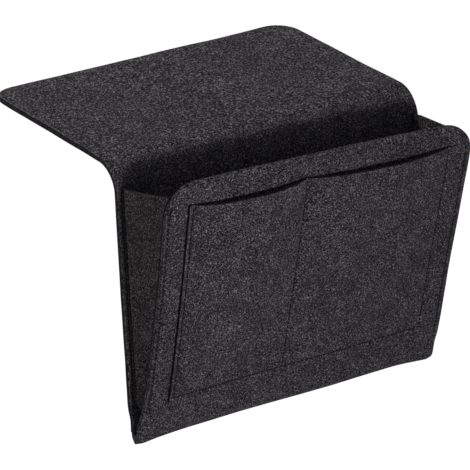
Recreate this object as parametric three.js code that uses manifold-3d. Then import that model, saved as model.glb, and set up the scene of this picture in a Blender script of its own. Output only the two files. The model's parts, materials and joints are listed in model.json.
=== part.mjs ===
// Bedside caddy of stiff felt: a level flap that is gripped under a mattress, a rounded bend, and a
// wedge-shaped hanging pocket with felt gussets and two flat pockets sewn on its front.
// Millimetres, +X to the right, +Y towards the bed, +Z up.
// The origin is the middle of the flap's flat underside.

import * as THREE from 'three';
import { mergeVertices } from 'three/addons/utils/BufferGeometryUtils.js';
import Module from 'manifold-3d';

const wasm = await Module();
wasm.setup();

// Main felt strip
const WIDTH = 300;
const FELT = 5;
const FLAP_LENGTH = 172;
const FLAP_CORNER_R = 22;
const BEND_INNER_R = 23;
const BACK_LENGTH = 202;
const BACK_LEAN = THREE.MathUtils.degToRad(5);
const FOLD_INNER_R = 4;
const POCKET_WEDGE = THREE.MathUtils.degToRad(16);
const FRONT_LENGTH = 236;
const FRONT_CORNER_R = 30;

// Gussets
const THIN_FELT = 3;
const GUSSET_FLANGE = 9;
const GUSSET_FOOT = 21;
const GUSSET_TOP_ABOVE_BACK = 6.5;
const GUSSET_TOP_BELOW_RIM = 1.5;

// Pocket panel
const PANEL_SIDE_MARGIN = 22;
const PANEL_FOOT = 30;
const PANEL_TOP_BELOW_RIM = 18;
const DIVIDER_LEFT_OF_MIDDLE = 16;
const MOUTH_GAPE = 9;

// Threads and fits
const THREAD_R = 0.45;
const STITCH_INSET = 4;
const SEAM_BEND_R = 3;
const GAP = 0.3;

// Facets
const CORNER_SEGMENTS = 10;
const BEND_SEGMENTS = 14;
const FOLD_SEGMENTS = 14;
const POCKET_COLUMNS = 12;
const POCKET_ROWS = 6;
const THREAD_SIDES = 8;
const SEAM_STEP = 7;

const halfWidth = WIDTH / 2;
const bendOuterR = BEND_INNER_R + FELT;
const foldOuterR = FOLD_INNER_R + FELT;
const bendAxisY = -FLAP_LENGTH / 2;
const bendAxisZ = -BEND_INNER_R;
const backFrontY = -bendOuterR;
const backRearY = -BEND_INNER_R;
const foldAxisY = backFrontY - FOLD_INNER_R;
const foldAxisZ = -BACK_LENGTH;
const gussetFootZ = foldAxisZ + GUSSET_FOOT;
const backSeamTop = -STITCH_INSET;
const seamX = halfWidth - STITCH_INSET;
const threadLift = GAP + THREAD_R;

const felt = { color: 0x3f3d40, roughness: 0.96, metalness: 0 };
const thinFelt = { color: 0x363437, roughness: 0.96, metalness: 0 };
const thread = { color: 0x1c1b1d, roughness: 0.8, metalness: 0 };

function piece(name, geometry, look) {
  const mesh = new THREE.Mesh(geometry, new THREE.MeshStandardMaterial(look));
  mesh.name = name;
  return mesh;
}

function extrude(shape, depth, curveSegments = CORNER_SEGMENTS) {
  return new THREE.ExtrudeGeometry(shape, { depth, bevelEnabled: false, curveSegments });
}

// A prism along X whose outline is drawn as (y, z).
function prismX(shape, fromX, toX, curveSegments) {
  const geometry = extrude(shape, toX - fromX, curveSegments);
  const turn = new THREE.Matrix4().makeBasis(
    new THREE.Vector3(0, 1, 0),
    new THREE.Vector3(0, 0, 1),
    new THREE.Vector3(1, 0, 0),
  );
  return geometry.applyMatrix4(turn).translate(fromX, 0, 0);
}

// A slab whose outline is drawn as (x, z), from frontY back to backY.
function slabY(shape, frontY, backY) {
  return extrude(shape, backY - frontY).rotateX(Math.PI / 2).translate(0, backY, 0);
}

// A ring sector in the (y, z) plane, swept between two angles counted from +Y towards +Z.
function bentStrip(innerR, outerR, fromAngle, toAngle, segments) {
  const sector = new THREE.Shape();
  sector.absarc(0, 0, outerR, fromAngle, toAngle, false);
  sector.absarc(0, 0, innerR, toAngle, fromAngle, true);
  sector.closePath();
  return prismX(sector, -halfWidth, halfWidth, segments);
}

// A rectangle with its two upper corners rounded.
function roundTopped(half, bottom, top, radius) {
  const outline = new THREE.Shape();
  outline.moveTo(-half, bottom);
  outline.lineTo(half, bottom);
  outline.lineTo(half, top - radius);
  outline.absarc(half - radius, top - radius, radius, 0, Math.PI / 2, false);
  outline.lineTo(-half + radius, top);
  outline.absarc(-half + radius, top - radius, radius, Math.PI / 2, Math.PI, false);
  outline.closePath();
  return outline;
}

function polygon(points) {
  return new THREE.Shape(points.map(([a, b]) => new THREE.Vector2(a, b)));
}

function rectangle(left, bottom, right, top) {
  return polygon([[left, bottom], [right, bottom], [right, top], [left, top]]);
}

function solid(geometry) {
  const bare = geometry.clone();
  bare.deleteAttribute('normal');
  bare.deleteAttribute('uv');
  const merged = mergeVertices(bare, 1e-4);
  return new wasm.Manifold(new wasm.Mesh({
    numProp: 3,
    vertProperties: new Float32Array(merged.attributes.position.array),
    triVerts: new Uint32Array(merged.index.array),
  }));
}

function fromSolid(body) {
  const mesh = body.getMesh();
  const geometry = new THREE.BufferGeometry();
  geometry.setAttribute('position', new THREE.BufferAttribute(mesh.vertProperties, 3));
  geometry.setIndex(new THREE.BufferAttribute(mesh.triVerts, 1));
  geometry.computeVertexNormals();
  return geometry;
}

// A thread laid along a path.
function threadAlong(path, steps = Math.ceil(path.getLength() / SEAM_STEP)) {
  const section = new THREE.Shape();
  for (let i = 0; i < THREAD_SIDES; i += 1) {
    const angle = (i / THREAD_SIDES) * 2 * Math.PI;
    const x = THREAD_R * Math.cos(angle);
    const y = THREAD_R * Math.sin(angle);
    if (i === 0) section.moveTo(x, y);
    else section.lineTo(x, y);
  }
  section.closePath();
  return new THREE.ExtrudeGeometry(section, { steps, extrudePath: path, bevelEnabled: false });
}

// Groups: the hanging pocket turns about the bend's axis, the front about the bottom fold's axis.
const caddy = new THREE.Group();
const hanging = new THREE.Group();
hanging.position.set(0, bendAxisY, bendAxisZ);
hanging.rotation.x = -BACK_LEAN;
const front = new THREE.Group();
front.position.set(0, foldAxisY, foldAxisZ);
front.rotation.x = POCKET_WEDGE;
front.updateMatrix();
caddy.add(hanging);
hanging.add(front);

// Flap and bend
const flapOutline = roundTopped(halfWidth, bendAxisY, FLAP_LENGTH / 2, FLAP_CORNER_R);
caddy.add(piece('flap', extrude(flapOutline, FELT), felt));

const bendStart = Math.PI / 2 + GAP / BEND_INNER_R;
const bendEnd = Math.PI - BACK_LEAN;
const bend = bentStrip(BEND_INNER_R, bendOuterR, bendStart, bendEnd, BEND_SEGMENTS);
caddy.add(piece('bend', bend.translate(0, bendAxisY, bendAxisZ), felt));

// Back panel, in the hanging group: a groove takes each seam's thread, so its rear face lies flat.
// Its top edge stops short of the bend, which clears the flap when the two lie in line.
const backSlab = slabY(rectangle(-halfWidth, foldAxisZ, halfWidth, -GAP), backFrontY, backRearY);
const grooveHalf = THREAD_R + GAP;
const grooveFloorY = backRearY - 2 * THREAD_R - GAP;
let backBody = solid(backSlab);
for (const x of [-seamX, seamX]) {
  const groove = rectangle(x - grooveHalf, gussetFootZ - GAP, x + grooveHalf, backSeamTop + GAP);
  backBody = backBody.subtract(solid(slabY(groove, grooveFloorY, backRearY + FELT)));
}
hanging.add(piece('back_panel', fromSolid(backBody), felt));

// Bottom fold
const foldStart = Math.PI + POCKET_WEDGE + GAP / FOLD_INNER_R;
const foldEnd = 2 * Math.PI - GAP / FOLD_INNER_R;
const fold = bentStrip(FOLD_INNER_R, foldOuterR, foldStart, foldEnd, FOLD_SEGMENTS);
hanging.add(piece('bottom_fold', fold.translate(0, foldAxisY, foldAxisZ), felt));

// Front panel, in the front group: its outer face is at y = -foldOuterR
const frontOutline = roundTopped(halfWidth, 0, FRONT_LENGTH, FRONT_CORNER_R);
front.add(piece('front_panel', slabY(frontOutline, -foldOuterR, -FOLD_INNER_R), felt));

// Gussets: a flange on the back panel, a flange on the front panel and a web between them
const flangeBackY = backFrontY - GAP;
const flangeFrontY = -FOLD_INNER_R + GAP;
const webInnerX = halfWidth - GUSSET_FLANGE;
const webOuterX = webInnerX + THIN_FELT;
const cornerX = halfWidth - FRONT_CORNER_R;
const cornerZ = FRONT_LENGTH - FRONT_CORNER_R;
const rimAboveWeb = cornerZ + Math.sqrt(FRONT_CORNER_R ** 2 - Math.max(0, webOuterX - cornerX) ** 2);
const gussetFrontTop = rimAboveWeb - GUSSET_TOP_BELOW_RIM;

function onFront(y, z) {
  const point = new THREE.Vector3(0, y, z).applyMatrix4(front.matrix);
  return [point.y, point.z];
}

function spanX(side, fromX, toX) {
  return side > 0 ? [fromX, toX] : [-toX, -fromX];
}

function gusset(side) {
  const [flangeFrom, flangeTo] = spanX(side, webInnerX, halfWidth);
  const [webFrom, webTo] = spanX(side, webInnerX, webOuterX);
  const backOutline = rectangle(flangeFrom, gussetFootZ, flangeTo, GUSSET_TOP_ABOVE_BACK);
  const backFlange = slabY(backOutline, flangeBackY - THIN_FELT, flangeBackY);
  const frontStripOutline = rectangle(flangeFrom, GUSSET_FOOT, flangeTo, gussetFrontTop);
  const frontStrip = slabY(frontStripOutline, flangeFrontY, flangeFrontY + THIN_FELT);
  const frontTrim = slabY(frontOutline, flangeFrontY - FELT, flangeFrontY + THIN_FELT + FELT);
  const frontFlange = fromSolid(solid(frontStrip).intersect(solid(frontTrim)));
  frontFlange.applyMatrix4(front.matrix);
  const web = prismX(polygon([
    onFront(flangeFrontY, GUSSET_FOOT),
    [flangeBackY, gussetFootZ],
    [flangeBackY, GUSSET_TOP_ABOVE_BACK],
    onFront(flangeFrontY, gussetFrontTop),
  ]), webFrom, webTo);
  return fromSolid(solid(web).add(solid(backFlange)).add(solid(frontFlange)));
}

hanging.add(piece('left_gusset', gusset(-1), thinFelt));
hanging.add(piece('right_gusset', gusset(1), thinFelt));

// Pocket panel: flat along its seams, and bowed out between them, most at its mouth
const panelHalf = halfWidth - PANEL_SIDE_MARGIN;
const panelTop = FRONT_LENGTH - PANEL_TOP_BELOW_RIM;
const panelSeamX = panelHalf - STITCH_INSET;
const panelSeamFoot = PANEL_FOOT + STITCH_INSET;
const dividerX = -DIVIDER_LEFT_OF_MIDDLE;
const panelInnerY = -foldOuterR - GAP;

function bow(x, z) {
  if (Math.abs(x) >= panelSeamX || z <= panelSeamFoot) return 0;
  const [from, to] = x < dividerX ? [-panelSeamX, dividerX] : [dividerX, panelSeamX];
  const across = (2 * (x - from)) / (to - from) - 1;
  const rise = (z - panelSeamFoot) / (panelTop - panelSeamFoot);
  return MOUTH_GAPE * rise * (1 - Math.abs(across) ** 2.4);
}

function steps(from, to, count) {
  return Array.from({ length: count }, (_, i) => from + ((to - from) * i) / count);
}

// A closed sheet over a grid of (x, z) points, its inner face bowed off the front panel.
function bowedSheet(xs, zs) {
  const positions = [];
  const index = [];
  const layer = xs.length * zs.length;
  for (const thickness of [0, THIN_FELT]) {
    for (const z of zs) {
      for (const x of xs) positions.push(x, panelInnerY - bow(x, z) - thickness, z);
    }
  }
  const at = (column, row, outer) => outer * layer + row * xs.length + column;
  const quad = (a, b, c, d) => index.push(a, b, c, a, c, d);
  for (let row = 0; row + 1 < zs.length; row += 1) {
    for (let col = 0; col + 1 < xs.length; col += 1) {
      quad(at(col, row, 1), at(col + 1, row, 1), at(col + 1, row + 1, 1), at(col, row + 1, 1));
      quad(at(col, row, 0), at(col, row + 1, 0), at(col + 1, row + 1, 0), at(col + 1, row, 0));
    }
  }
  const lastRow = zs.length - 1;
  for (let col = 0; col + 1 < xs.length; col += 1) {
    quad(at(col, 0, 0), at(col + 1, 0, 0), at(col + 1, 0, 1), at(col, 0, 1));
    quad(at(col, lastRow, 1), at(col + 1, lastRow, 1), at(col + 1, lastRow, 0), at(col, lastRow, 0));
  }
  const lastCol = xs.length - 1;
  for (let row = 0; row + 1 < zs.length; row += 1) {
    quad(at(0, row, 0), at(0, row, 1), at(0, row + 1, 1), at(0, row + 1, 0));
    quad(at(lastCol, row, 1), at(lastCol, row, 0), at(lastCol, row + 1, 0), at(lastCol, row + 1, 1));
  }
  const geometry = new THREE.BufferGeometry();
  geometry.setAttribute('position', new THREE.Float32BufferAttribute(positions, 3));
  geometry.setIndex(index);
  geometry.computeVertexNormals();
  return geometry;
}

const panelColumns = [
  -panelHalf,
  ...steps(-panelSeamX, dividerX, POCKET_COLUMNS),
  ...steps(dividerX, panelSeamX, POCKET_COLUMNS),
  panelSeamX,
  panelHalf,
];
const panelRows = [PANEL_FOOT, ...steps(panelSeamFoot, panelTop, POCKET_ROWS), panelTop];
front.add(piece('pocket_panel', bowedSheet(panelColumns, panelRows), thinFelt));

// Gusset seams: sunk in the back panel's grooves, and on the front panel's outer face round its corner
const backSeamY = backRearY - THREAD_R;
const frontSeamY = -foldOuterR - threadLift;
const seamCornerR = FRONT_CORNER_R - STITCH_INSET;
const seamCornerTurn = Math.asin((gussetFrontTop - STITCH_INSET - cornerZ) / seamCornerR);

function backSeam(side) {
  const path = new THREE.LineCurve3(
    new THREE.Vector3(side * seamX, backSeamY, gussetFootZ),
    new THREE.Vector3(side * seamX, backSeamY, backSeamTop),
  );
  return threadAlong(path, 1);
}

class FrontSeamPath extends THREE.Curve {
  constructor(side) {
    super();
    this.side = side;
    this.straight = cornerZ - GUSSET_FOOT;
    this.total = this.straight + seamCornerR * seamCornerTurn;
  }

  getPoint(t, target = new THREE.Vector3()) {
    const run = t * this.total;
    const turn = Math.max(0, run - this.straight) / seamCornerR;
    const x = cornerX + seamCornerR * Math.cos(turn);
    const z = GUSSET_FOOT + Math.min(run, this.straight) + seamCornerR * Math.sin(turn);
    return target.set(this.side * x, frontSeamY, z);
  }
}

for (const [name, side] of [['left', -1], ['right', 1]]) {
  hanging.add(piece(`${name}_back_seam`, backSeam(side), thread));
  front.add(piece(`${name}_front_seam`, threadAlong(new FrontSeamPath(side)), thread));
}

// Pocket seams: down one side, along the foot and up the other side, and the divider
const panelSeamY = panelInnerY - THIN_FELT - threadLift;
const seamPoint = (x, z) => new THREE.Vector3(x, panelSeamY, z);
const pocketPath = new THREE.CurvePath();
pocketPath.add(new THREE.LineCurve3(
  seamPoint(-panelSeamX, panelTop),
  seamPoint(-panelSeamX, panelSeamFoot + SEAM_BEND_R),
));
pocketPath.add(new THREE.QuadraticBezierCurve3(
  seamPoint(-panelSeamX, panelSeamFoot + SEAM_BEND_R),
  seamPoint(-panelSeamX, panelSeamFoot),
  seamPoint(-panelSeamX + SEAM_BEND_R, panelSeamFoot),
));
pocketPath.add(new THREE.LineCurve3(
  seamPoint(-panelSeamX + SEAM_BEND_R, panelSeamFoot),
  seamPoint(panelSeamX - SEAM_BEND_R, panelSeamFoot),
));
pocketPath.add(new THREE.QuadraticBezierCurve3(
  seamPoint(panelSeamX - SEAM_BEND_R, panelSeamFoot),
  seamPoint(panelSeamX, panelSeamFoot),
  seamPoint(panelSeamX, panelSeamFoot + SEAM_BEND_R),
));
pocketPath.add(new THREE.LineCurve3(
  seamPoint(panelSeamX, panelSeamFoot + SEAM_BEND_R),
  seamPoint(panelSeamX, panelTop),
));
front.add(piece('pocket_seam', threadAlong(pocketPath), thread));

const dividerPath = new THREE.LineCurve3(
  seamPoint(dividerX, panelSeamFoot + GAP + 2 * THREAD_R),
  seamPoint(dividerX, panelTop),
);
front.add(piece('divider_seam', threadAlong(dividerPath, 1), thread));

export default caddy;
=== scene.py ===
import json
import math
import random

import bmesh
import bpy
from mathutils import Matrix, Vector, noise
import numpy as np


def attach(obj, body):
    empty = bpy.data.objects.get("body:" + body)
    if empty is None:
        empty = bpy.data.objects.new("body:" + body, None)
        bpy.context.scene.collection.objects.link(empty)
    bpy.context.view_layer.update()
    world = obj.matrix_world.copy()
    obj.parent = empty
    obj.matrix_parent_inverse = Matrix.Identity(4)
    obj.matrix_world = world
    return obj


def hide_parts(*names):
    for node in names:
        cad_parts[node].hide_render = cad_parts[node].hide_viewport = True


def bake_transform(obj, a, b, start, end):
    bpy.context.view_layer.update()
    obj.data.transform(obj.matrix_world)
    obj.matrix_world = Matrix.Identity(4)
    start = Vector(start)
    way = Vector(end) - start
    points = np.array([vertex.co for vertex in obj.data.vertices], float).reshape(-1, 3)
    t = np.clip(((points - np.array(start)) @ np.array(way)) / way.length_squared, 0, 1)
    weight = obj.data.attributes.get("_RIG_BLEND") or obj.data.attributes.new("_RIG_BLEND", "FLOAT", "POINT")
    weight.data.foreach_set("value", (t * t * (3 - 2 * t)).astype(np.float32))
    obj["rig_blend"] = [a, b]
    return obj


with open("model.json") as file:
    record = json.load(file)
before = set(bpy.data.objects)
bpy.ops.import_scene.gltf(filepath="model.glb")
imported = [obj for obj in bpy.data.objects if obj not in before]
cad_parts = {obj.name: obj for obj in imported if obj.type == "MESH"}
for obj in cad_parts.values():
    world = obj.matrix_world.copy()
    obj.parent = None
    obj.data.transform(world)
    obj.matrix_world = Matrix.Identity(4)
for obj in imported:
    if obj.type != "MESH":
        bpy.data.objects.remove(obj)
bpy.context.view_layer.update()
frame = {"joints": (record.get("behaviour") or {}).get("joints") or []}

# Bedside caddy of stiff charcoal felt, as it hangs. Metres: +X right, +Y to the bed, +Z up.

joints = {joint["name"]: joint for joint in frame["joints"]}
bendAxis = Vector(joints["flap_fold"]["pos_m"])
foldAxis = Vector(joints["front_open"]["pos_m"])
backLean = math.radians(5)  # foot of the back panel forward
pocketWedge = math.radians(16)  # between back panel and front panel
hangAt = Matrix.Translation(bendAxis) @ Matrix.Rotation(-backLean, 4, "X")
frontAt = Matrix.Translation(foldAxis) @ Matrix.Rotation(pocketWedge - backLean, 4, "X")


def mm(*sizes):
    return sizes[0] / 1000 if len(sizes) == 1 else Vector(sizes) / 1000


def hung(x, y, z):  # millimetres in the back panel's own frame
    return hangAt @ mm(x, y, z)


def leant(x, y, z):  # millimetres in the front panel's own frame
    return frontAt @ mm(x, y, z)


def srgb(code):
    parts = [int(code[i:i + 2], 16) / 255 for i in (1, 3, 5)]
    return [*(c / 12.92 if c <= 0.04045 else ((c + 0.055) / 1.055) ** 2.4 for c in parts), 1]


def addNode(tree, kind, settings={}, links={}):
    node = tree.nodes.new(kind)
    for key, value in settings.items():
        if isinstance(key, int) or key in node.inputs:
            node.inputs[key].default_value = value
        else:
            setattr(node, key, value)
    for socket, source in links.items():
        tree.links.new(source, node.inputs[socket])
    return node


def fillRamp(ramp, stops):
    elements = ramp.color_ramp.elements
    while len(elements) < len(stops):
        elements.new(0.5)
    for element, (position, code) in zip(elements, stops):
        element.position = position
        element.color = srgb(code)


def newMaterial(name):
    material = bpy.data.materials.new(name)
    material.use_nodes = True
    material.node_tree.nodes.clear()
    return material, material.node_tree


# needle-punched polyester felt: black, grey and a few pale fibres matted flat,
# so the eye gets a fine melange with soft tufts, no weave and no shine
feltMix = {
    "tuftShare": 0.78, "hairShare": 0.14,
    "lays": (45, 135), "tilt": -35.3, "drawnOut": 4, "thin": 5.5,  # degrees, then how long and thin a hair is
}


def feltMaterial(name, look):
    material, tree = newMaterial(name)
    place = addNode(tree, "ShaderNodeTexCoord").outputs["Object"]
    tufts = addNode(tree, "ShaderNodeTexNoise", {
        "Scale": 1 / mm(look["tuft"]), "Detail": 2.0, "Roughness": 0.55, "Distortion": 0.6,
    }, {"Vector": place})
    clouds = addNode(tree, "ShaderNodeTexNoise", {
        "Scale": 1 / mm(look["cloud"]), "Detail": 2.0,
    }, {"Vector": place})
    lays = []
    for lay in feltMix["lays"]:  # the carded fibres lie in two directions that cross
        drawn = addNode(tree, "ShaderNodeMapping", {
            "vector_type": "TEXTURE", "Scale": (feltMix["drawnOut"], 1, 1),
            "Rotation": (0, math.radians(feltMix["tilt"]), math.radians(lay)),
        }, {"Vector": place})
        curls = addNode(tree, "ShaderNodeTexNoise", {
            "Scale": 1 / mm(look["fibre"]), "Detail": 1.0, "Roughness": 0.5, "Distortion": 0.8,
        }, {"Vector": drawn.outputs["Vector"]})
        hairs = addNode(tree, "ShaderNodeMath", {"operation": "SUBTRACT", 1: 0.5}, {0: curls.outputs["Fac"]})
        hairs = addNode(tree, "ShaderNodeMath", {"operation": "ABSOLUTE"}, {0: hairs.outputs["Value"]})
        hairs = addNode(tree, "ShaderNodeMath", {  # 1 along thin curled lines, less between them
            "operation": "MULTIPLY_ADD", 1: -feltMix["thin"], 2: 1.0,
        }, {0: hairs.outputs["Value"]})
        lays.append(hairs.outputs["Value"])
    hairs = addNode(tree, "ShaderNodeMath", {"operation": "MAXIMUM"}, {0: lays[0], 1: lays[1]})
    matted = addNode(tree, "ShaderNodeMath", {
        "operation": "MULTIPLY", 1: feltMix["tuftShare"],
    }, {0: tufts.outputs["Fac"]})
    matted = addNode(tree, "ShaderNodeMath", {
        "operation": "MULTIPLY_ADD", 1: feltMix["hairShare"],
    }, {0: hairs.outputs["Value"], 2: matted.outputs["Value"]})
    shade = addNode(tree, "ShaderNodeMath", {
        "operation": "MULTIPLY_ADD", 1: 1 - feltMix["tuftShare"] - feltMix["hairShare"],
    }, {0: clouds.outputs["Fac"], 2: matted.outputs["Value"]})
    melange = addNode(tree, "ShaderNodeValToRGB", {}, {"Fac": shade.outputs["Value"]})
    fillRamp(melange, look["melange"])
    nap = addNode(tree, "ShaderNodeBump", {
        "Strength": 0.7, "Distance": mm(look["nap"]),
    }, {"Height": matted.outputs["Value"]})
    surface = addNode(tree, "ShaderNodeBsdfPrincipled", {
        "Roughness": 0.96, "Specular IOR Level": 0.15,
        "Sheen Weight": look["sheen"], "Sheen Roughness": 0.5, "Sheen Tint": srgb("#c9c7cb"),
    }, {"Base Color": melange.outputs["Color"], "Normal": nap.outputs["Normal"]})
    addNode(tree, "ShaderNodeOutputMaterial", {}, {"Surface": surface.outputs["BSDF"]})
    return material


flapFelt = feltMaterial("thick needle-punched felt, open side", {
    "tuft": 1.5, "fibre": 1.6, "cloud": 16,  # drawn two or three times as coarse as real
    "melange": [
        (0.40, "#070607"), (0.46, "#181618"), (0.52, "#363337"), (0.58, "#696569"), (0.64, "#c4bfc6"),
        (0.70, "#eae5eb"),
    ],
    "nap": 0.24, "sheen": 0.04,
})
fineMelange = [
    (0.36, "#111011"), (0.43, "#221f22"), (0.50, "#3c393d"), (0.57, "#656166"), (0.64, "#a8a3a9"),
    (0.71, "#f1ecf2"),
]
thickFelt = feltMaterial("thick needle-punched felt", {
    "tuft": 1.1, "fibre": 1.2, "cloud": 16, "melange": fineMelange,  # drawn twice as coarse as real
    "nap": 0.16, "sheen": 0.04,
})
pocketFelt = feltMaterial("thin needle-punched felt", {
    "tuft": 1.1, "fibre": 1.2, "cloud": 18, "melange": fineMelange,  # same fibres as the thick felt
    "nap": 0.16, "sheen": 0.04,
})
thinFelt = feltMaterial("thin pressed felt", {
    "tuft": 1.3, "fibre": 1.5, "cloud": 20,  # pressed harder, so smoother and a little browner
    "melange": [
        (0.38, "#090809"), (0.465, "#1d1b1c"), (0.525, "#3c383b"), (0.60, "#776f74"), (0.68, "#c6bdc3"),
    ],
    "nap": 0.2, "sheen": 0.04,
})
thickCut = feltMaterial("die-cut edge of thick felt", {
    "tuft": 1.6, "fibre": 1.2, "cloud": 9,  # fibre ends stand open, a little darker than the face
    "melange": [(0.37, "#0a080a"), (0.46, "#201f20"), (0.53, "#3b3a3e"), (0.66, "#a09ea6")],
    "nap": 0.4, "sheen": 0.03,
})
shadedCutFelt = feltMaterial("thick felt cut edge with painted shade", {
    "tuft": 1.6, "fibre": 1.2, "cloud": 9,  # painted shade: a darker copy of the die-cut edge, for the flap's and back's edges that stand in shade
    "melange": [(0.37, "#040304"), (0.46, "#100f10"), (0.53, "#222124"), (0.66, "#625f65")],
    "nap": 0.4, "sheen": 0.0,
})
shadedThinCut = feltMaterial("thin felt cut edge with painted shade", {
    "tuft": 0.9, "fibre": 1.0, "cloud": 9,  # painted shade: near black for the shadow in the gaps along the thin felt's cut edges
    "melange": [(0.36, "#070707"), (0.46, "#0f0d0f"), (0.53, "#151315"), (0.66, "#2a272a")],
    "nap": 0.2, "sheen": 0.0,
})
arrisFelt = feltMaterial("fuzzed arris of felt", {
    "tuft": 1.6, "fibre": 1.4, "cloud": 9,  # loose fibres along the edge catch the light
    "melange": [(0.37, "#0f0d0f"), (0.46, "#2b282c"), (0.53, "#4c4a4f"), (0.66, "#b9b4bd")],
    "nap": 0.4, "sheen": 0.08,
})
highlightArrisFelt = feltMaterial("felt arris with painted highlight", {
    "tuft": 1.6, "fibre": 1.4, "cloud": 9,  # painted highlight: pale felt for the upward-facing arris where the light catches the flap's left rim
    "melange": [(0.37, "#3a373a"), (0.46, "#5c595d"), (0.53, "#827e85"), (0.66, "#dcd7e0")],
    "nap": 0.4, "sheen": 0.08,
})


# spun polyester sewing thread: two plies twisted, slightly glossy along its top
def threadMaterial(name, look):
    material, tree = newMaterial(name)
    place = addNode(tree, "ShaderNodeTexCoord").outputs["Object"]
    plies = addNode(tree, "ShaderNodeTexNoise", {
        "Scale": 1 / mm(look["ply"]), "Detail": 1.0, "Distortion": 0.5,
    }, {"Vector": place})
    tint = addNode(tree, "ShaderNodeValToRGB", {}, {"Fac": plies.outputs["Fac"]})
    fillRamp(tint, look["tints"])
    twist = addNode(tree, "ShaderNodeBump", {
        "Strength": 0.5, "Distance": mm(look["twist"]),
    }, {"Height": plies.outputs["Fac"]})
    surface = addNode(tree, "ShaderNodeBsdfPrincipled", {
        "Roughness": 0.7, "Specular IOR Level": 0.2,
    }, {"Base Color": tint.outputs["Color"], "Normal": twist.outputs["Normal"]})
    addNode(tree, "ShaderNodeOutputMaterial", {}, {"Surface": surface.outputs["BSDF"]})
    return material


thread = threadMaterial("spun polyester thread", {
    "ply": 0.5, "twist": 0.1, "tints": [(0.4, "#0b0b0d"), (0.6, "#1a191c")],
})
print("materials made")

faceSlot, cutSlot, arrisSlot, finerSlot, paintedHighlightSlot = range(5)  # material slots of a felt piece
sharpFrom = math.radians(55)  # faces that meet at more than this keep a sharp edge
cornerFrom = math.radians(50)  # a cut edge that turns by more than this is rounded too
sliceSlack = 0.001  # millimetres within which a slice takes a vertex as lying on it
pressedFrom = 7  # millimetres in from the rim that the cutting die presses
dipWidth = 1.6  # millimetres that a seam pulls in on each side


def ease(t):
    t = min(max(t, 0), 1)
    return t * t * (3 - 2 * t)


def roundOff(bm, corners, radius, steps):
    bmesh.ops.bevel(
        bm, geom=corners, offset=mm(radius), offset_type="OFFSET", segments=steps,
        profile=0.5, affect="VERTICES", material=-1,
    )


# gives a surface its felt thickness on the side that the given direction points to
def thicken(bm, thickness, inward, probe):
    bmesh.ops.recalc_face_normals(bm, faces=bm.faces[:])
    nearest = min(bm.faces, key=lambda f: (f.calc_center_median() - probe).length)
    if nearest.normal.dot(inward) < 0:
        bmesh.ops.reverse_faces(bm, faces=bm.faces[:])
    outer = set(bm.faces)
    grown = bmesh.ops.extrude_face_region(bm, geom=bm.faces[:])["geom"]
    inner = {f for f in grown if isinstance(f, bmesh.types.BMFace)}
    bm.normal_update()
    moves = []
    for vert in (v for v in grown if isinstance(v, bmesh.types.BMVert)):
        normal = sum((f.normal for f in vert.link_faces if f in inner), Vector()).normalized()
        moves.append((vert, normal * mm(thickness)))
    for vert, move in moves:
        vert.co += move
    for face in bm.faces:
        face.material_index = faceSlot if face in inner or face in outer else cutSlot
    bmesh.ops.recalc_face_normals(bm, faces=bm.faces[:])


# rounds the rim where the cut edge meets the faces, but not at a joined end
def softenRim(bm, radius, joined=lambda co: False):
    rim = []
    for edge in bm.edges:
        cut = [f for f in edge.link_faces if f.material_index == cutSlot]
        corner = len(cut) == 2 and edge.calc_face_angle(0) > cornerFrom
        if (len(cut) == 1 or corner) and not all(joined(v.co) for v in edge.verts):
            rim.append(edge)
    rounded = bmesh.ops.bevel(
        bm, geom=rim, offset=mm(radius), offset_type="OFFSET", segments=3,
        profile=0.5, affect="EDGES", material=-1, clamp_overlap=True,
    )["faces"]
    for face in rounded:
        face.material_index = arrisSlot


def sliceAt(bm, points, normal):
    for point in points:
        bmesh.ops.bisect_plane(
            bm, geom=bm.verts[:] + bm.edges[:] + bm.faces[:], dist=mm(sliceSlack),
            plane_co=point, plane_no=normal,
        )


# the cutting die leaves the felt thinner along its rim
def pressRim(bm, awayAt, coreAt):
    for vert in bm.verts:
        core, share = coreAt(vert.co)
        press = share * (1 - ease(awayAt(vert.co) / mm(pressedFrom)))
        vert.co = core + (vert.co - core) * (1 - press)


def insideRim(along, half, height, top, corner):  # distance from the rim of an end with round corners
    across, up = half - abs(along), top - height
    if across < corner and up < corner:
        return corner - math.hypot(corner - across, corner - up)
    return min(across, up)


# the felt is never quite flat: one slow field moves everything that lies at a place alike
uneven = {"seed": 11, "waves": ((75, 0.7), (22, 0.18))}  # length and height of each wave
noise.seed_set(uneven["seed"])  # without a seed the field starts from the clock


def unevenAt(co):
    return sum((noise.noise_vector(co / mm(long)) * mm(high) for long, high in uneven["waves"]), Vector())


# how the front has settled in use: right side pushed out and sunk, left side drawn in and up
settled = {
    "out": 4.5, "outCurve": 1.4, "bow": 2.4, "leftUp": 1.6, "rightDown": 5, "downCurve": 1.7,
    "leftIn": 3.2, "rightOut": 0.2, "height": 236, "half": 150, "margin": 26, "lowShare": 0.25,
}


def settledBy(co):  # in the front panel's frame
    height = max(0, co.z) / mm(settled["height"])
    side = co.x / mm(settled["half"])
    rise = -settled["leftUp"] * side if side < 0 else -settled["rightDown"] * side ** settled["downCurve"]
    drawn = settled["leftIn"] if side < 0 else settled["rightOut"]
    fromRim = (1 - abs(side)) * settled["half"]
    drawn *= ease(height / settled["lowShare"]) * ease(1 - fromRim / settled["margin"])
    bow = settled["bow"] * math.sin(math.pi * min(height, 1)) * (1 - side) / 2
    return mm(drawn, -settled["out"] * side * height ** settled["outCurve"] - bow, rise * height)


def settle(bm):
    for vert in bm.verts:
        vert.co += settledBy(vert.co)


# below the gussets' feet the fold is pinched together towards its ends and reaches lower there
pinched = {
    "from": 100, "to": 150, "foot": 19, "shut": 6, "back": 3.0, "front": 1.6,
    "drop": 4.2, "dropFrom": 6, "dropOver": 14, "inner": 4, "outer": 9,
}
foldAt = Matrix.Translation(foldAxis) @ Matrix.Rotation(pocketWedge / 2 - backLean, 4, "X")


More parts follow.
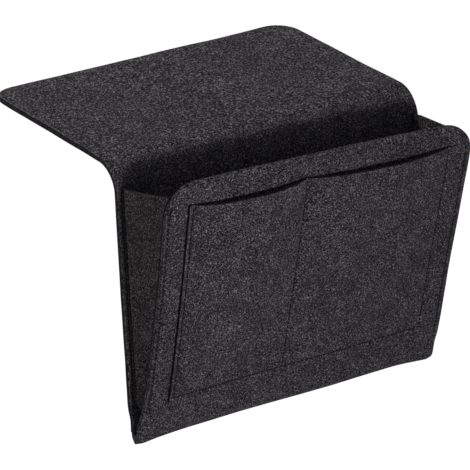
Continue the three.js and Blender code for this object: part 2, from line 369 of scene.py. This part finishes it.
def pinchAt(co):
    local = foldAt.inverted() @ co
    end = max(0, (abs(local.x) - mm(pinched["from"])) / mm(pinched["to"] - pinched["from"])) ** 2
    low = ease((mm(pinched["foot"]) - local.z) / mm(pinched["foot"] - pinched["shut"]))
    inner, outer = mm(pinched["inner"]), mm(pinched["outer"])
    close = mm(pinched["back"] if local.y > 0 else pinched["front"]) * low * min(1, abs(local.y) / inner)
    skin = ease((math.hypot(local.y, local.z) - inner) / (outer - inner))
    drop = mm(pinched["drop"]) * skin * ease((mm(pinched["dropFrom"]) - local.z) / mm(pinched["dropOver"]))
    return foldAt.to_3x3() @ Vector((0, -math.copysign(close, local.y) * end, -drop * end))


def finishPiece(bm, name, materials, place=None):
    if place:
        bmesh.ops.transform(bm, matrix=place, verts=bm.verts[:])
    for vert in bm.verts:
        vert.co += pinchAt(vert.co)
        vert.co += unevenAt(vert.co)
    bm.normal_update()
    for face in bm.faces:
        face.smooth = True
    for edge in bm.edges:
        edge.smooth = edge.calc_face_angle(0) < sharpFrom
    mesh = bpy.data.meshes.new(name)
    bm.to_mesh(mesh)
    bm.free()
    for material in materials:
        mesh.materials.append(material)
    piece = bpy.data.objects.new(name, mesh)
    bpy.context.scene.collection.objects.link(piece)
    print(name, len(mesh.polygons), "faces")
    return piece


def columnsOf(look):  # slices across the strip, closer together beside the gusset seams
    seam = look["width"] / 2 - look["seamFromEdge"]
    beside = [s * (seam + d) for s in (-1, 1) for d in (-5, -2.5, -1.2, 0, 1.2)]
    return [mm(x, 0, 0) for x in [*range(-130, 131, 10), *beside]]


# flap, bend and back panel: one run of thick felt
flapAndBack = {
    "width": 300, "felt": 5, "softEdge": 0.6, "flap": 172, "corner": 22, "cornerSteps": 14,
    "bendOuter": 28, "bendTurn": 85, "bendSteps": 20, "finerFrom": 21.25, "back": 202,
    "flapPress": 0.26, "backPress": 0.05, "pressFromBend": 40, "pressFromLeft": 24,
    "lip": 1.5, "curl": 0.6, "lipWidth": 1.6, "lipFromBend": 25, "highlightInside": 3, "highlightUpward": 0.2,
    "seamFromEdge": 4, "seamDip": 1.0, "seamBelowFoot": 2, "gussetFoot": 21,
}


def makeFlapAndBack(look):
    bm = bmesh.new()
    half, reach, top = mm(look["width"]) / 2, mm(look["flap"]) / 2, mm(look["felt"])
    corners = [bm.verts.new(co) for co in (
        (-half, -reach, top), (half, -reach, top), (half, reach, top), (-half, reach, top),
    )]
    bm.faces.new(corners)
    nearEdge = bm.edges.get(corners[:2])
    roundOff(bm, corners[2:], look["corner"], look["cornerSteps"])
    bent = bmesh.ops.spin(
        bm, geom=[*nearEdge.verts, nearEdge], cent=bendAxis, axis=(1, 0, 0), dvec=(0, 0, 0),
        angle=math.radians(look["bendTurn"]), space=Matrix(), steps=look["bendSteps"],
        use_merge=False, use_normal_flip=False, use_duplicate=False,
    )["geom_last"]
    lastEdge = [e for e in bent if isinstance(e, bmesh.types.BMEdge)]
    run = bmesh.ops.extrude_edge_only(bm, edges=lastEdge)["geom"]
    down = hangAt.to_3x3() @ Vector((0, 0, -mm(look["back"])))
    bmesh.ops.translate(bm, vec=down, verts=[v for v in run if isinstance(v, bmesh.types.BMVert)])
    thicken(bm, look["felt"], Vector((0, 0, -1)), Vector((0, 0, top)))
    toHang = hangAt.inverted()
    softenRim(bm, look["softEdge"], lambda co: (toHang @ co).z < -mm(look["back"]) + 1e-6)
    sliceAt(bm, columnsOf(look), (1, 0, 0))
    sliceAt(bm, [mm(0, y, 0) for y in [*range(-80, 71, 10), 76, 79, 82, 84]], (0, 1, 0))
    rows = [-4, *range(-10, -190, -10), -181, -186, -190, -194, -198]
    sliceAt(bm, [hung(0, 0, z) for z in rows], hangAt.to_3x3() @ Vector((0, 0, 1)))

    def coreAt(co):  # middle of the felt, which is pressed most at the flap's far and right rims
        middle, local = look["bendOuter"] - look["felt"] / 2, toHang @ co
        if co.y > bendAxis.y:
            share = look["flapPress"] - look["backPress"]
            share *= ease((co.y - bendAxis.y) / mm(look["pressFromBend"]))
            share *= ease((co.x + half) / mm(look["pressFromLeft"]))
            return Vector((co.x, co.y, top / 2)), share + look["backPress"]
        if local.z < 0:
            return hung(co.x * 1000, -middle, local.z * 1000), look["backPress"]
        arm = Vector((0, co.y - bendAxis.y, co.z - bendAxis.z)).normalized()
        return Vector((co.x, bendAxis.y, bendAxis.z)) + arm * mm(middle), look["backPress"]

    pressRim(bm, lambda co: insideRim(co.x, half, co.y, reach, mm(look["corner"])), coreAt)
    for vert in bm.verts:  # the knife lifts the flap's left rim, the upper lip most
        if vert.co.y > bendAxis.y:
            near = (vert.co.x + half) / mm(look["lipWidth"])
            lift = mm(look["lip"] if vert.co.z > top / 2 else look["curl"])
            lift *= ease((vert.co.y - bendAxis.y) / mm(look["lipFromBend"]))
            vert.co.z += lift * math.exp(-near * near)
    bm.normal_update()
    pulls = []
    seam = mm(look["width"] / 2 - look["seamFromEdge"])
    seamFoot = mm(look["gussetFoot"] - look["back"] - look["seamBelowFoot"])
    for vert in bm.verts:  # both faces dip along the gusset seams
        local = toHang @ vert.co
        if local.y < mm(look["felt"] + 1 - look["bendOuter"]) and seamFoot < local.z < 0:
            away = (abs(local.x) - seam) / mm(dipWidth)
            pulls.append((vert, vert.normal * -mm(look["seamDip"]) * math.exp(-away * away)))
    for vert, pull in pulls:
        vert.co += pull
    for face in bm.faces:  # the melange is drawn finer from the bend on, where it is seen squarely
        arm = face.calc_center_median() - bendAxis
        if face.material_index == faceSlot:
            if arm.y < 0 and math.atan2(-arm.y, arm.z) > math.radians(look["finerFrom"]):
                face.material_index = finerSlot
        # painted highlight: arris faces near the flap's left rim that face upwards take the pale arris felt
        elif face.material_index == arrisSlot and arm.y > 0 and arm.x < mm(look["highlightInside"]) - half:
            if face.normal.z > look["highlightUpward"]:
                face.material_index = paintedHighlightSlot
    # the cut-edge slot holds the darker copy of the cut felt, painted shade; the upward arris slot holds a
    # painted highlight
    piece = finishPiece(bm, "flapAndBack", [flapFelt, shadedCutFelt, arrisFelt, thickFelt, highlightArrisFelt])
    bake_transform(piece, "flap", "back", start=(0, bendAxis.y, mm(2.5)), end=hung(0, -25.5, 0))
    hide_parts("flap", "bend", "back_panel")
    return piece


# bottom fold and front panel: the same strip coming up again in front
foldAndFront = {
    "width": 300, "felt": 5, "softEdge": 0.9, "press": 0.2, "foldOuter": 9, "foldSteps": 24, "front": 236,
    "corner": 30, "cornerSteps": 16, "gussetFoot": 21,
    "seamFromEdge": 4, "seamDip": 1.1, "seamBelowFoot": 2, "seamBelowTop": 14,
    "seamDrift": -1.3,  # both front rows are sewn a little to the left
}


def frontSeamAway(x, z, look):  # millimetres from the gusset seam, which turns with the corner
    centre, x = look["width"] / 2 - look["corner"], x - look["seamDrift"]
    if z <= look["front"] - look["corner"]:
        return abs(x) - (look["width"] / 2 - look["seamFromEdge"])
    reach = math.hypot(abs(x) - centre, z - look["front"] + look["corner"])
    return reach - (look["corner"] - look["seamFromEdge"])


def makeFoldAndFront(look):
    bm = bmesh.new()
    half, outer = mm(look["width"]) / 2, mm(look["foldOuter"])
    start = Matrix.Rotation(-pocketWedge, 3, "X") @ Vector((0, outer, 0))
    ends = [bm.verts.new(start + Vector((x, 0, 0))) for x in (-half, half)]
    firstEdge = bm.edges.new(ends)
    bent = bmesh.ops.spin(
        bm, geom=[*ends, firstEdge], cent=(0, 0, 0), axis=(1, 0, 0), dvec=(0, 0, 0),
        angle=pocketWedge - math.pi, space=Matrix(), steps=look["foldSteps"],
        use_merge=False, use_normal_flip=False, use_duplicate=False,
    )["geom_last"]
    lastEdge = [e for e in bent if isinstance(e, bmesh.types.BMEdge)]
    run = bmesh.ops.extrude_edge_only(bm, edges=lastEdge)["geom"]
    rim = [v for v in run if isinstance(v, bmesh.types.BMVert)]
    bmesh.ops.translate(bm, vec=mm(0, 0, look["front"]), verts=rim)
    roundOff(bm, rim, look["corner"], look["cornerSteps"])
    thicken(bm, look["felt"], Vector((0, 1, 0)), mm(0, -look["foldOuter"], look["front"] / 2))
    cutNormal = Matrix.Rotation(-pocketWedge, 3, "X") @ Vector((0, 0, 1))
    softenRim(bm, look["softEdge"], lambda co: abs(co.dot(cutNormal)) < 1e-6 and co.y > 0)
    sliceAt(bm, columnsOf(look), (1, 0, 0))
    rows = [4, 8, 12, 16, 21, *range(30, 201, 10), 206, 211, 215, 219, 223, 227, 231, 233.5]
    sliceAt(bm, [mm(0, 0, z) for z in rows], (0, 0, 1))

    def coreAt(co):  # the sewn face, inside the pocket
        sewn = mm(look["foldOuter"] - look["felt"])
        if co.z > 0:
            return Vector((co.x, -sewn, co.z)), look["press"]
        return Vector((co.x, 0, 0)) + Vector((0, co.y, co.z)).normalized() * sewn, look["press"]

    corner, front = mm(look["corner"]), mm(look["front"])
    pressRim(bm, lambda co: insideRim(co.x, half, co.z, front, corner), coreAt)
    bm.normal_update()
    pulls = []
    for vert in bm.verts:
        x, z = vert.co.x * 1000, vert.co.z * 1000
        if look["gussetFoot"] - look["seamBelowFoot"] < z < look["front"] - look["seamBelowTop"]:
            away = frontSeamAway(x, z, look) / dipWidth
            pulls.append((vert, vert.normal * -mm(look["seamDip"]) * math.exp(-away * away)))
    for vert, pull in pulls:
        vert.co += pull
    settle(bm)
    piece = finishPiece(bm, "foldAndFront", [thickFelt, thickCut, arrisFelt], frontAt)
    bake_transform(piece, "back", "front", start=leant(0, 6.2, -1.8), end=leant(0, -6.5, 0))
    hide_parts("bottom_fold", "front_panel")
    return piece


# side webs of thin felt, folded to a flange at each long side
gusset = {
    "felt": 2.4, "softEdge": 0.4, "webBack": 145.4, "webFront": 144.4, "backEdge": 146.9, "frontEdge": 149.2,
    "backFace": -30.6, "frontFace": -1.4, "foot": 21, "back": 202, "topAboveBack": 6.5, "frontTop": 222.5,
    "foldRadius": 1.2, "cornerAt": (120, 206), "cornerRadius": 29.4, "bulge": 1.8, "bulgeFrom": 4,
    "flangeSlack": 0.5, "flangeDepth": 3,
}


def gussetShare(co, look):  # 0 on the back flange, 1 on the front flange, even between
    flange = mm(look["felt"] + look["flangeSlack"])
    frontInner = mm(foldAndFront["foldOuter"] - foldAndFront["felt"])
    fromBack = max(-mm(flapAndBack["bendOuter"]) - (hangAt.inverted() @ co).y - flange, 0)
    fromFront = max((frontAt.inverted() @ co).y + frontInner - flange, 0)
    return fromBack / (fromBack + fromFront) if fromBack + fromFront > 0 else 0.5


def makeGusset(look, name, side, node):
    bm = bmesh.new()
    webBack, webFront = look["webBack"] * side, look["webFront"] * side
    footAt = look["foot"] - look["back"]
    corners = [bm.verts.new(co) for co in (
        hung(webBack, look["backFace"], footAt),
        hung(webBack, look["backFace"], look["topAboveBack"]),
        leant(webFront, look["frontFace"], look["frontTop"]),
        leant(webFront, look["frontFace"], look["foot"]),
    )]
    bm.faces.new(corners)
    folds = [bm.edges.get(corners[:2]), bm.edges.get(corners[2:])]
    widths = (look["backEdge"] - look["webBack"], look["frontEdge"] - look["webFront"])
    for fold, wide in zip(folds, widths):
        flange = bmesh.ops.extrude_edge_only(bm, edges=[fold])["geom"]
        out = mm(wide * side, 0, 0)
        bmesh.ops.translate(bm, vec=out, verts=[v for v in flange if isinstance(v, bmesh.types.BMVert)])
    bmesh.ops.recalc_face_normals(bm, faces=bm.faces[:])
    bmesh.ops.bevel(
        bm, geom=folds, offset=mm(look["foldRadius"]), offset_type="OFFSET", segments=4,
        profile=0.5, affect="EDGES", material=-1,
    )
    middleX, middleZ = look["cornerAt"]
    toFront = frontAt.inverted()
    for turn in range(12, 61, 8):  # the front flange follows the panel's rounded corner
        angle = math.radians(turn)
        tangent = Vector((math.cos(angle) * side, 0, math.sin(angle)))
        onArc = leant(middleX * side, 0, middleZ) + frontAt.to_3x3() @ tangent * mm(look["cornerRadius"])
        flange = [f for f in bm.faces if (toFront @ f.calc_center_median()).y < mm(look["flangeDepth"])
                  and abs(f.calc_center_median().x) > mm(look["webFront"] + 0.01)]
        parts = {*flange, *(e for f in flange for e in f.edges), *(v for f in flange for v in f.verts)}
        bmesh.ops.bisect_plane(
            bm, geom=list(parts), dist=mm(sliceSlack), plane_co=onArc,
            plane_no=frontAt.to_3x3() @ tangent, clear_outer=True,
        )
    middle = sum((v.co for v in bm.verts), Vector()) / len(bm.verts)
    thicken(bm, look["felt"], Vector((-side, 0, 0)), Vector((mm(webFront), middle.y, middle.z)))
    softenRim(bm, look["softEdge"])
    turn = hangAt.to_3x3()
    sliceAt(bm, [hung(0, 0, z) for z in range(-176, 6, 9)], turn @ Vector((0, 0, 1)))
    sliceAt(bm, [hung(0, look["backFace"] - y, 0) for y in (2.6, 3.6, 5, 7)], turn @ Vector((0, 1, 0)))
    for share in (0.2, 0.35, 0.5, 0.65, 0.8):
        turn = Matrix.Rotation(-backLean + pocketWedge * share, 3, "X")
        sliceAt(bm, [foldAxis], turn @ Vector((0, 1, 0)))
    toHang = hangAt.inverted()
    for vert in bm.verts:
        share = gussetShare(vert.co, look)
        local = toHang @ vert.co
        ahead = look["backFace"] - local.y * 1000
        bulge = look["bulge"] * ease(ahead / look["bulgeFrom"]) * (1 - share)
        vert.co += frontAt.to_3x3() @ settledBy(toFront @ vert.co) * share
        vert.co.x += side * mm(bulge)
    # the flanges' cut edges take the near-black cut colour, painted shade for the recess beside the back
    # panel
    piece = finishPiece(bm, name, [thinFelt, shadedThinCut, thinFelt])
    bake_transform(piece, "back", "front", start=hung(webBack, -29, -100), end=leant(webFront, -3, 100))
    weights = piece.data.attributes["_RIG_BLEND"].data
    for weight, vert in zip(weights, piece.data.vertices):
        weight.value = gussetShare(vert.co, look)
    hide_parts(node)
    return piece


# pocket panel of thin felt on the front, sewn at the sides, the foot and the divider
pocketPanel = {
    "felt": 3, "softEdge": 0.35, "face": -9.15, "half": 128, "foot": 30, "mouth": 218, "corner": 0.9,
    "cornerSteps": 3, "seamFromEdge": 4, "divider": -16, "gape": 9, "gapeCurve": 2.4,
    "seamDip": 1.2, "seamWidth": 1.5, "dividerDip": 1.4, "dividerWidth": 1.4,
}


def gapeAt(x, z, look):  # each pocket stands off most in the middle of its mouth
    side = look["half"] - look["seamFromEdge"]
    rise = (z - look["foot"] - look["seamFromEdge"]) / (look["mouth"] - look["foot"] - look["seamFromEdge"])
    low, high = (-side, look["divider"]) if x < look["divider"] else (look["divider"], side)
    across = abs(x - (low + high) / 2) / ((high - low) / 2)
    return look["gape"] * max(rise, 0) * max(0, 1 - across ** look["gapeCurve"])


def makePocketPanel(look):
    bm = bmesh.new()
    half, level = look["half"], look["face"]
    corners = [bm.verts.new(mm(x, level, z)) for x, z in (
        (-half, look["foot"]), (half, look["foot"]), (half, look["mouth"]), (-half, look["mouth"]),
    )]
    bm.faces.new(corners)
    roundOff(bm, corners, look["corner"], look["cornerSteps"])
    thicken(bm, look["felt"], Vector((0, -1, 0)), mm(0, level, look["foot"]))
    softenRim(bm, look["softEdge"])
    middle = mm(level - look["felt"] / 2)
    for face in bm.faces:  # only the outer arris is fuzzed; the inner arris takes the cut edge's near-black colour, painted shade for the contact shadow on the front panel
        if face.material_index == arrisSlot and face.calc_center_median().y > middle:
            face.material_index = cutSlot
    side, divider = half - look["seamFromEdge"], look["divider"]
    columns = [*range(-120, 121, 6), *(s * (side + d) for s in (-1, 1) for d in (-2.5, -1.2, 0, 1.2)),
               *(divider + d for d in (-3.5, -2, -1, 0, 1, 2, 3.5))]
    sliceAt(bm, [mm(x, 0, 0) for x in columns], (1, 0, 0))
    footSeam = look["foot"] + look["seamFromEdge"]
    rows = [footSeam + d for d in (-1.2, 0, 1.2, 2.5, 6)] + list(range(46, 217, 8))
    sliceAt(bm, [mm(0, 0, z) for z in rows], (0, 0, 1))
    farOff = 9  # dip widths, where nothing is pulled in any more
    for vert in bm.verts:
        x, z = vert.co.x * 1000, vert.co.z * 1000
        outer = vert.co.y < middle
        fromSide = (abs(x) - side) / look["seamWidth"] if z > footSeam else farOff
        fromFoot = (z - footSeam) / look["seamWidth"] if abs(x) < side else farOff
        fromDivider = (x - divider) / look["dividerWidth"] if z > footSeam else farOff
        dip = look["seamDip"] * max(math.exp(-fromSide ** 2), math.exp(-fromFoot ** 2))
        dip = max(dip, look["dividerDip"] * math.exp(-fromDivider ** 2))
        vert.co.y -= mm(gapeAt(x, z, look) - (dip if outer else 0))
    settle(bm)
    piece = finishPiece(bm, "pocketPanel", [pocketFelt, shadedThinCut, arrisFelt], frontAt)
    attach(piece, "front")
    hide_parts("pocket_panel")
    return piece


# lockstitch rows: short thread floats, half sunk in the felt
stitching = {
    "length": 4.1, "pitch": 4.4, "width": 1.5, "height": 1.0, "sunk": 0.1,
    "slant": 4, "slantStray": 4, "lengthStray": 0.06,
    "backLevel": -22.75, "backRow": (-181, -4), "flangeAt": 146.4, "flangeRow": (-179, 2),
    "frontLevel": -8.7, "cornerTurns": range(0, 30, 4), "flangeTurns": 4,
    "pocketLevel": -11.6, "dividerLevel": -11.2, "insideLevel": -3.9, "mouthEnd": 216, "dividerFoot": 36,
}
outwards, bedwards = (0, -1, 0), (0, 1, 0)


def sewRow(bm, path, facing, look, seed):
    chance = random.Random(seed)
    facing = Vector(facing)
    legs = [(a, b, (b - a).length) for a, b in zip(path, path[1:])]
    total = sum(leg[2] for leg in legs)
    count = max(2, round(total / mm(look["pitch"])))
    for step in range(count):
        ahead = (step + 0.5) * total / count
        for a, b, length in legs:
            if ahead <= length:
                break
            ahead -= length
        along = (b - a).normalized()
        spot = a + along * ahead - facing * mm(look["sunk"])
        slant = math.radians(look["slant"] + chance.uniform(-1, 1) * look["slantStray"])
        along = Matrix.Rotation(slant, 3, facing) @ along
        sideways = facing.cross(along)
        turn = Matrix((along, sideways, facing)).transposed().to_4x4()
        stretch = 1 + chance.uniform(-1, 1) * look["lengthStray"]
        size = mm(look["length"] * stretch, look["width"], look["height"]) / 2
        size = Matrix.Diagonal((*size, 1))
        bmesh.ops.create_uvsphere(
            bm, u_segments=8, v_segments=5, radius=1, matrix=Matrix.Translation(spot) @ turn @ size,
        )


def finishStitches(bm, name, body, node, place, isFront):
    if isFront:
        settle(bm)
    piece = finishPiece(bm, name, [thread], place)
    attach(piece, body)
    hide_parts(node)


def makeStitches(look):
    front, pocket = foldAndFront, pocketPanel
    cornerX, cornerZ = gusset["cornerAt"]
    radius = front["corner"] - front["seamFromEdge"]
    for side, word in ((-1, "left"), (1, "right")):
        bm = bmesh.new()
        x = (front["width"] / 2 - front["seamFromEdge"]) * side
        row = [mm(x, look["backLevel"], z) for z in look["backRow"]]
        sewRow(bm, row, bedwards, look, seed=10 + side)
        row = [mm(look["flangeAt"] * side, gusset["backFace"], z) for z in look["flangeRow"]]
        sewRow(bm, row, outwards, look, seed=20 + side)
        finishStitches(bm, word + "BackStitches", "back", word + "_back_seam", hangAt, False)
        bm = bmesh.new()
        line = [(x, front["gussetFoot"])]
        for turn in look["cornerTurns"]:
            angle = math.radians(turn)
            line.append((side * (cornerX + radius * math.cos(angle)), cornerZ + radius * math.sin(angle)))
        row = [mm(u + front["seamDrift"], look["frontLevel"], w) for u, w in line]
        sewRow(bm, row, outwards, look, seed=30 + side)
        row = [mm(u, gusset["frontFace"], w) for u, w in line[:look["flangeTurns"] + 1]]
        sewRow(bm, row, bedwards, look, seed=40 + side)
        finishStitches(bm, word + "FrontStitches", "front", word + "_front_seam", frontAt, True)
    bm = bmesh.new()
    side, foot = pocket["half"] - pocket["seamFromEdge"], pocket["foot"] + pocket["seamFromEdge"]
    mouth = look["mouthEnd"]
    line = [(-side, mouth), (-side, foot), (side, foot), (side, mouth)]
    sewRow(bm, [mm(u, look["pocketLevel"], w) for u, w in line], outwards, look, seed=51)
    sewRow(bm, [mm(u, look["insideLevel"], w) for u, w in line], bedwards, look, seed=52)
    finishStitches(bm, "pocketStitches", "front", "pocket_seam", frontAt, True)
    bm = bmesh.new()
    line = [(pocket["divider"], look["dividerFoot"]), (pocket["divider"], mouth)]
    sewRow(bm, [mm(u, look["dividerLevel"], w) for u, w in line], outwards, look, seed=61)
    sewRow(bm, [mm(u, look["insideLevel"], w) for u, w in line], bedwards, look, seed=62)
    finishStitches(bm, "dividerStitches", "front", "divider_seam", frontAt, True)


makeFlapAndBack(flapAndBack)
makeFoldAndFront(foldAndFront)
makeGusset(gusset, "leftGusset", -1, "left_gusset")
makeGusset(gusset, "rightGusset", 1, "right_gusset")
makePocketPanel(pocketPanel)
makeStitches(stitching)
print("felt sewn")

# studio: pale floor well below the hanging caddy, a key lamp behind on the left, a low lamp in front
studio = {
    "floorAt": -900, "floorSize": 9000, "floor": "#f4f4f4", "lift": 0.93, "world": 0.055,
    "lamps": [
        {"at": (-105, -1180, 121), "size": (150, 45), "watts": 0.71, "aim": (-250, -90, -100), "spread": 100},
        {"at": (-1008, 1392, 1680), "size": (350, 350), "watts": 13.4, "aim": (0, -90, -100), "spread": 180},
    ],
}


def seenDirectly(tree):  # 1 for what the camera sees, also mirrored or through glass
    path = addNode(tree, "ShaderNodeLightPath")
    seen = path.outputs["Is Camera Ray"]
    for ray in ("Is Glossy Ray", "Is Transmission Ray"):
        either = addNode(tree, "ShaderNodeMath", {"operation": "MAXIMUM"}, {0: seen, 1: path.outputs[ray]})
        seen = either.outputs["Value"]
    return seen


floorMaterial, tree = newMaterial("matt white floor paint")  # even and pale, keeps the shadow
paint = addNode(tree, "ShaderNodeBsdfDiffuse", {"Color": srgb(studio["floor"])})
lift = addNode(tree, "ShaderNodeMath", {"operation": "MULTIPLY", 1: studio["lift"]}, {0: seenDirectly(tree)})
glow = addNode(tree, "ShaderNodeEmission", {}, {"Strength": lift.outputs["Value"]})
both = addNode(tree, "ShaderNodeAddShader", {}, {0: paint.outputs["BSDF"], 1: glow.outputs["Emission"]})
addNode(tree, "ShaderNodeOutputMaterial", {}, {"Surface": both.outputs["Shader"]})
bm = bmesh.new()
bmesh.ops.create_grid(bm, x_segments=4, y_segments=4, size=mm(studio["floorSize"]) / 2)
bmesh.ops.translate(bm, vec=mm(0, 0, studio["floorAt"]), verts=bm.verts[:])
mesh = bpy.data.meshes.new("floor")
bm.to_mesh(mesh)
bm.free()
mesh.materials.append(floorMaterial)
floor = bpy.data.objects.new("floor", mesh)
bpy.context.scene.collection.objects.link(floor)

world = bpy.data.worlds.new("white studio")
bpy.context.scene.world = world
world.use_nodes = True
tree = world.node_tree
tree.nodes.clear()
level = addNode(tree, "ShaderNodeMath", {
    "operation": "MULTIPLY_ADD", 1: 1 - studio["world"], 2: studio["world"],
}, {0: seenDirectly(tree)})
sky = addNode(tree, "ShaderNodeBackground", {"Color": (1, 1, 1, 1)}, {"Strength": level.outputs["Value"]})
addNode(tree, "ShaderNodeOutputWorld", {}, {"Surface": sky.outputs["Background"]})

for number, lamp in enumerate(studio["lamps"]):
    light = bpy.data.lights.new("softbox%d" % (number + 1), "AREA")
    light.shape = "RECTANGLE"
    light.size, light.size_y = mm(*lamp["size"], 0)[:2]
    light.energy = lamp["watts"]
    light.spread = math.radians(lamp["spread"])
    softbox = bpy.data.objects.new(light.name, light)
    softbox.visible_camera = False
    turn = (mm(*lamp["aim"]) - mm(*lamp["at"])).to_track_quat("-Z", "Y").to_matrix()
    softbox.matrix_world = Matrix.Translation(mm(*lamp["at"])) @ turn.to_4x4()
    bpy.context.scene.collection.objects.link(softbox)

# the photograph's view: a long lens, a little to the left and above
view = {
    "at": (-1732.9, -2626.2, 1243.8), "yaw": 34.03, "pitch": 23.61, "roll": 0.06,
    "lens": 308.1, "sensor": 36, "reach": 50000,
}
lens = bpy.data.cameras.new("camera")
lens.lens = view["lens"]
lens.sensor_width = view["sensor"]
lens.clip_end = mm(view["reach"])
camera = bpy.data.objects.new("camera", lens)
turn = Matrix.Rotation(-math.radians(view["yaw"]), 4, "Z")
turn = turn @ Matrix.Rotation(math.radians(90 - view["pitch"]), 4, "X")
turn = turn @ Matrix.Rotation(math.radians(view["roll"]), 4, "Z")
camera.matrix_world = Matrix.Translation(mm(*view["at"])) @ turn
bpy.context.scene.collection.objects.link(camera)
bpy.context.scene.camera = camera
bpy.context.scene.view_settings.view_transform = "Standard"
print("studio set")
